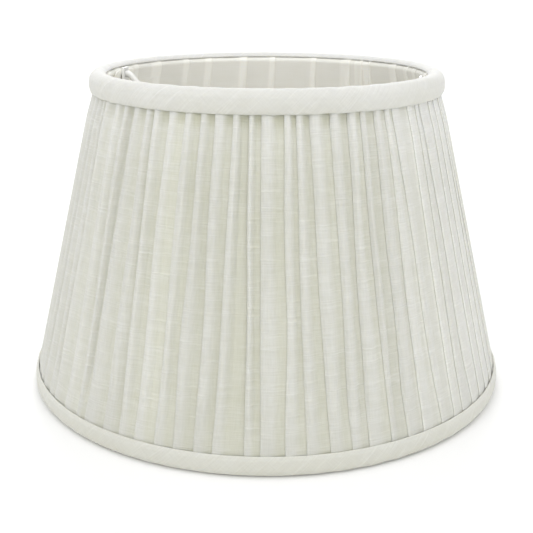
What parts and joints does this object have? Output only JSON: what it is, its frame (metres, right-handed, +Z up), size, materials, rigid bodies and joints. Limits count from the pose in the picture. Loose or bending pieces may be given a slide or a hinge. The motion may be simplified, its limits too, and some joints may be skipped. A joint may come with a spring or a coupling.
{
  "type": "lamp shade",
  "caption": "Knife-pleated linen empire lamp shade with rolled bias trims, pleated lining, strutted wire frame and a reversible gimbal fitter.",
  "frame": {"origin": "centre of the bottom rim's rest plane, on the shade's axis", "axes": "+Z up along the shade's axis from the wide rim to the narrow rim, +X along the gimbal's pivot axis towards the right pivot"},
  "size_m": [0.25, 0.25, 0.161],
  "materials": {
    "cover_linen": "slubby plain-weave off-white linen, matt",
    "trim_linen": "the same linen cut on the bias and rolled, matt",
    "lining_cloth": "fine translucent cotton lining, slightly warm",
    "binding_tape": "plain cotton binding tape",
    "frame_wire": "white powder coat",
    "fitter_steel": "white powder coat, soft gloss"
  },
  "bodies": {
    "shade": {"top_ring": "frame_wire", "bottom_ring": "frame_wire", "strut_1": "frame_wire", "strut_2": "frame_wire", "strut_3": "frame_wire", "strut_4": "frame_wire", "strut_5": "frame_wire", "strut_6": "frame_wire", "top_ring_binding": "binding_tape", "bottom_ring_binding": "binding_tape", "pivot_tab_right": "fitter_steel", "pivot_tab_left": "fitter_steel", "neatener_right": "lining_cloth", "neatener_left": "lining_cloth", "lining_front": "lining_cloth", "lining_back": "lining_cloth", "pleated_cover_front": "cover_linen", "pleated_cover_back": "cover_linen", "top_trim": "trim_linen", "bottom_trim": "trim_linen"},
    "gimbal": {"gimbal_arm_right": "fitter_steel", "gimbal_arm_left": "fitter_steel", "carrier_ring": "fitter_steel"}
  },
  "joints": [
    {"name": "gimbal_tilt", "type": "hinge", "parent": "shade", "child": "gimbal", "pos_m": [0, 0, 0.156], "axis": [1, 0, 0], "continuous": true}
  ]
}
